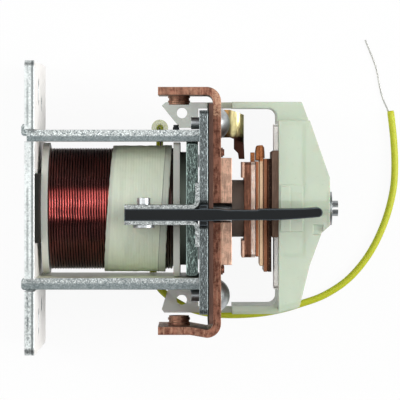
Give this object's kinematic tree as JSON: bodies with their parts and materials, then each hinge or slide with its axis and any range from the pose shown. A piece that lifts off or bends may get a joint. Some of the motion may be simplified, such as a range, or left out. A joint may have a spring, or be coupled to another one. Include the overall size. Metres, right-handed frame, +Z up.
{
  "type": "starter solenoid",
  "caption": "Open-frame starter solenoid: a wound coil in a plated yoke pulls a plunger that closes a sprung copper bridge across two copper terminals.",
  "frame": {"origin": "middle of the body's footprint, on the surface that it lies on; the yellow lead is left out", "axes": "+X from the mounting plate to the slotted shaft end, +Y towards the upper terminal, +Z up from the surface; the coil axis lies along X at Y = -1 mm, Z = 44 mm"},
  "size_m": [0.1575, 0.1297, 0.088],
  "materials": {
    "zinc": "dull zinc plate, rough and speckled",
    "iron": "turned soft iron",
    "bright_steel": "bright plated steel",
    "spring_steel": "drawn spring wire",
    "copper": "tarnished copper",
    "contact_copper": "worn contact copper",
    "leaf_copper": "rolled copper leaf",
    "brass": "dull brass",
    "enamelled_wire": "dark red enamel on copper wire",
    "tape": "pale translucent tape",
    "nylon": "pale translucent nylon",
    "black_fibre": "black fibre sheet",
    "black_plastic": "black moulding",
    "laminate": "brown phenolic laminate",
    "grey_moulding": "grey moulding",
    "lead_plastic": "yellow insulation",
    "tinned_copper": "tinned wire"
  },
  "bodies": {
    "frame": {"mounting_plate": "zinc", "upper_yoke_bar": "zinc", "lower_yoke_bar": "zinc", "spacer_strip": "black_fibre", "fixed_core": "iron", "core_screw": "zinc", "coil_bobbin": "nylon", "winding_core": "enamelled_wire", "coil_winding": "enamelled_wire", "coil_tape": "tape", "coil_end_wire": "enamelled_wire", "coil_end_ring": "grey_moulding", "guide_tube": "brass", "return_spring": "spring_steel", "pole_plate": "zinc", "upper_carrier_plate": "zinc", "lower_carrier_plate": "zinc", "upper_bracket": "zinc", "lower_bracket": "zinc", "bracket_rivet": "bright_steel", "barrier_blade": "black_plastic", "insulation_sheet": "black_fibre", "insulator_board": "laminate", "upper_terminal": "copper", "lower_terminal": "copper", "terminal_rivets": "bright_steel", "fixed_contacts": "contact_copper", "contact_rivets": "copper", "arc_horn": "brass", "splice_sleeve": "lead_plastic", "lead_sleeve": "lead_plastic", "lead_conductor": "tinned_copper", "bar_clip": "black_plastic"},
    "plunger": {"plunger": "iron", "plunger_shaft": "bright_steel", "contact_carrier": "nylon", "retaining_washer": "bright_steel", "backing_plate": "laminate", "steel_strip": "zinc", "leaf_pack": "leaf_copper"},
    "bridge": {"moving_contact": "copper", "contact_tips": "contact_copper", "contact_backer": "leaf_copper", "contact_hub": "grey_moulding"}
  },
  "joints": [
    {"name": "plunger_slide", "type": "slide", "parent": "frame", "child": "plunger", "axis": [-1, 0, 0], "range_m": [0, 0.004], "stiffness_N_per_m": 900, "springref_m": -0.008, "deforming": ["return_spring"]},
    {"name": "contact_overtravel", "type": "slide", "parent": "plunger", "child": "bridge", "axis": [1, 0, 0], "range_m": [0, 0.001], "stiffness_N_per_m": 6000, "springref_m": -0.002, "deforming": ["leaf_pack"]}
  ]
}
